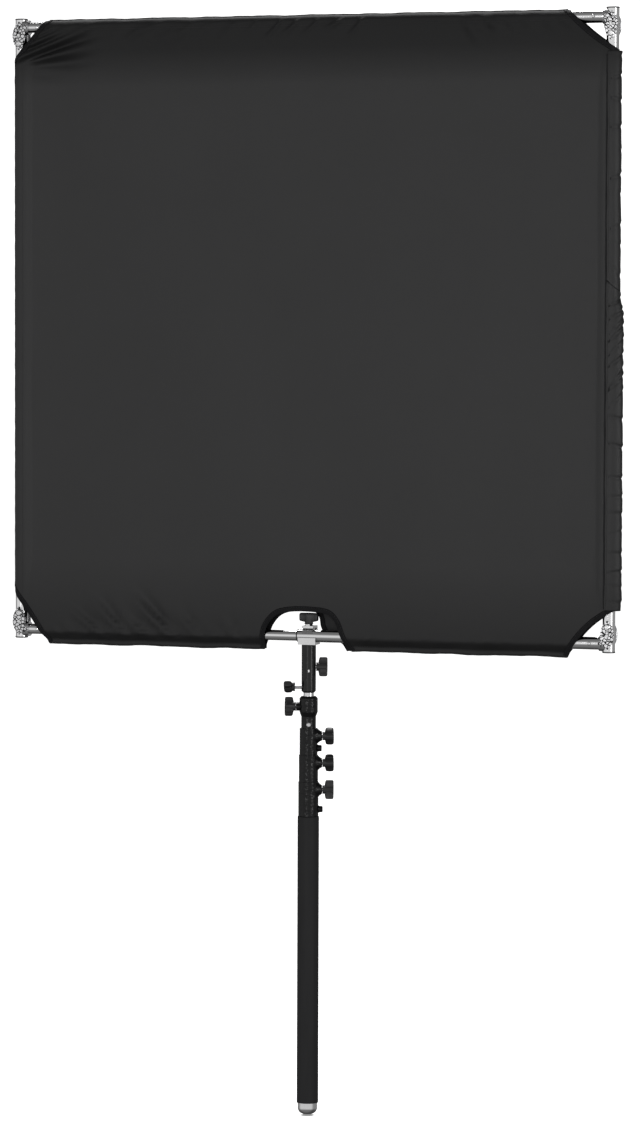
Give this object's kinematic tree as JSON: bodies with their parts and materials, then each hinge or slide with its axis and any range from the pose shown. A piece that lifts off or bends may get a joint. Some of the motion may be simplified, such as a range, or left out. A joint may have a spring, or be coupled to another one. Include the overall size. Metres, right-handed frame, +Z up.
{
  "type": "fabric flag panel on telescopic pole",
  "caption": "Black fabric flag stretched over a chrome tube frame, clamped by its bottom rail on a collapsed telescopic pole.",
  "frame": {"origin": "on the pole's axis, at the lower end of the grip sleeve", "axes": "+Z up along the pole, +X to the flag's right as seen from the front, front faces -Y"},
  "size_m": [0.9695, 0.0446, 1.678],
  "materials": {
    "chrome_tube": "polished chrome on steel tube",
    "chrome_fitting": "plated brackets, spigots, jaw and bolts",
    "black_enamel": "satin black enamel",
    "black_nylon": "moulded black nylon, fine grain",
    "grip_rubber": "smooth matte black sleeve",
    "steel_screw": "turned bright steel",
    "black_fabric": "black nylon, satin weave",
    "binding_tape": "black grosgrain binding",
    "hook_loop": "black hook-and-loop tape"
  },
  "bodies": {
    "pole": {"grip_sleeve": "grip_rubber", "foot_cap": "chrome_fitting", "outer_tube": "black_enamel", "clamp_collar_a": "black_enamel"},
    "section_b": {"second_tube": "black_enamel", "clamp_collar_b": "black_enamel"},
    "section_c": {"third_tube": "black_enamel", "clamp_collar_c": "black_enamel"},
    "pole_top": {"inner_tube": "black_enamel", "pole_head": "black_enamel", "neck_screw": "steel_screw"},
    "receiver": {"receiver_sleeve": "black_enamel", "lower_spigot": "chrome_fitting"},
    "clamp": {"rail_jaw": "chrome_fitting", "pressure_saddle": "chrome_fitting", "jaw_nut": "chrome_fitting", "upper_spigot": "chrome_fitting"},
    "frame_right": {"bottom_rail_right": "chrome_tube", "top_rail_right": "chrome_tube", "bottom_rail_bush": "black_nylon", "top_rail_bush": "black_nylon", "right_upright": "chrome_tube", "bottom_right_bracket": "chrome_fitting", "top_right_bracket": "chrome_fitting", "right_corner_bolts": "chrome_fitting", "right_rail_rivets": "chrome_fitting", "right_end_caps": "black_nylon", "cover_front": "black_fabric", "cover_back": "black_fabric", "notch_binding": "binding_tape", "closure_flap_upper": "black_fabric", "closure_flap_lower": "black_fabric", "hook_and_loop_tape": "hook_loop"},
    "frame_left": {"bottom_rail_left": "chrome_tube", "top_rail_left": "chrome_tube", "left_upright": "chrome_tube", "bottom_left_bracket": "chrome_fitting", "top_left_bracket": "chrome_fitting", "left_corner_bolts": "chrome_fitting", "left_rail_rivets": "chrome_fitting", "left_end_caps": "black_nylon"},
    "collar_a_t_knob": {"collar_a_knob": "black_nylon", "collar_a_knob_screw": "steel_screw"},
    "collar_b_t_knob": {"collar_b_knob": "black_nylon", "collar_b_knob_screw": "steel_screw"},
    "collar_c_t_knob": {"collar_c_knob": "black_nylon", "collar_c_knob_screw": "steel_screw"},
    "head_t_knob": {"head_knob": "black_nylon", "head_knob_screw": "steel_screw"},
    "receiver_low_t_knob": {"receiver_low_knob": "black_nylon", "receiver_low_knob_screw": "steel_screw"},
    "receiver_high_t_knob": {"receiver_high_knob": "black_nylon", "receiver_high_knob_screw": "steel_screw"},
    "rail_t_knob": {"rail_knob": "black_nylon", "rail_knob_screw": "steel_screw"},
    "bottom_left_button": {"bottom_left_lock_button": "chrome_fitting"},
    "bottom_right_button": {"bottom_right_lock_button": "chrome_fitting"},
    "top_left_button": {"top_left_lock_button": "chrome_fitting"},
    "top_right_button": {"top_right_lock_button": "chrome_fitting"}
  },
  "joints": [
    {"name": "extend_lower", "type": "slide", "parent": "pole", "child": "section_b", "axis": [0, 0, 1], "range_m": [0, 0.38]},
    {"name": "extend_middle", "type": "slide", "parent": "section_b", "child": "section_c", "axis": [0, 0, 1], "range_m": [0, 0.38]},
    {"name": "extend_upper", "type": "slide", "parent": "section_c", "child": "pole_top", "axis": [0, 0, 1], "range_m": [0, 0.4]},
    {"name": "swivel_on_pole", "type": "hinge", "parent": "pole_top", "child": "receiver", "pos_m": [0, 0, 0.624], "axis": [0, 0, 1], "continuous": true},
    {"name": "swivel_of_clamp", "type": "hinge", "parent": "receiver", "child": "clamp", "pos_m": [0, 0, 0.7025], "axis": [0, 0, 1], "continuous": true},
    {"name": "tilt_of_flag", "type": "hinge", "parent": "clamp", "child": "frame_right", "pos_m": [0, 0, 0.716], "axis": [1, 0, 0], "range_deg": [-90, 90]},
    {"name": "frame_width", "type": "slide", "parent": "frame_right", "child": "frame_left", "axis": [1, 0, 0], "range_m": [0, 0.06], "deforming": ["cover_front"]},
    {"name": "turn_collar_a_knob", "type": "hinge", "parent": "pole", "child": "collar_a_t_knob", "pos_m": [0, 0, 0.481], "axis": [0.9613, 0.2756, 0], "range_deg": [0, 270]},
    {"name": "turn_collar_b_knob", "type": "hinge", "parent": "section_b", "child": "collar_b_t_knob", "pos_m": [0, 0, 0.522], "axis": [0.9613, 0.2756, 0], "range_deg": [0, 270]},
    {"name": "turn_collar_c_knob", "type": "hinge", "parent": "section_c", "child": "collar_c_t_knob", "pos_m": [0, 0, 0.563], "axis": [0.9613, 0.2756, 0], "range_deg": [0, 270]},
    {"name": "turn_head_knob", "type": "hinge", "parent": "pole_top", "child": "head_t_knob", "pos_m": [0, 0, 0.608], "axis": [-0.9613, -0.2756, 0], "range_deg": [0, 270]},
    {"name": "turn_receiver_low_knob", "type": "hinge", "parent": "receiver", "child": "receiver_low_t_knob", "pos_m": [0, 0, 0.638], "axis": [-0.9613, -0.2756, 0], "range_deg": [0, 270]},
    {"name": "turn_receiver_high_knob", "type": "hinge", "parent": "receiver", "child": "receiver_high_t_knob", "pos_m": [0, 0, 0.669], "axis": [0.9613, 0.2756, 0], "range_deg": [0, 270]},
    {"name": "turn_rail_knob", "type": "hinge", "parent": "clamp", "child": "rail_t_knob", "pos_m": [0, 0, 0.742], "axis": [0, 0, 1], "range_deg": [0, 270]},
    {"name": "press_bottom_left_button", "type": "slide", "parent": "frame_left", "child": "bottom_left_button", "axis": [0, 1, 0], "range_m": [0, 0.002], "stiffness_N_per_m": 800, "springref_m": -0.001},
    {"name": "press_bottom_right_button", "type": "slide", "parent": "frame_right", "child": "bottom_right_button", "axis": [0, 1, 0], "range_m": [0, 0.002], "stiffness_N_per_m": 800, "springref_m": -0.001},
    {"name": "press_top_left_button", "type": "slide", "parent": "frame_left", "child": "top_left_button", "axis": [0, 1, 0], "range_m": [0, 0.002], "stiffness_N_per_m": 800, "springref_m": -0.001},
    {"name": "press_top_right_button", "type": "slide", "parent": "frame_right", "child": "top_right_button", "axis": [0, 1, 0], "range_m": [0, 0.002], "stiffness_N_per_m": 800, "springref_m": -0.001}
  ]
}
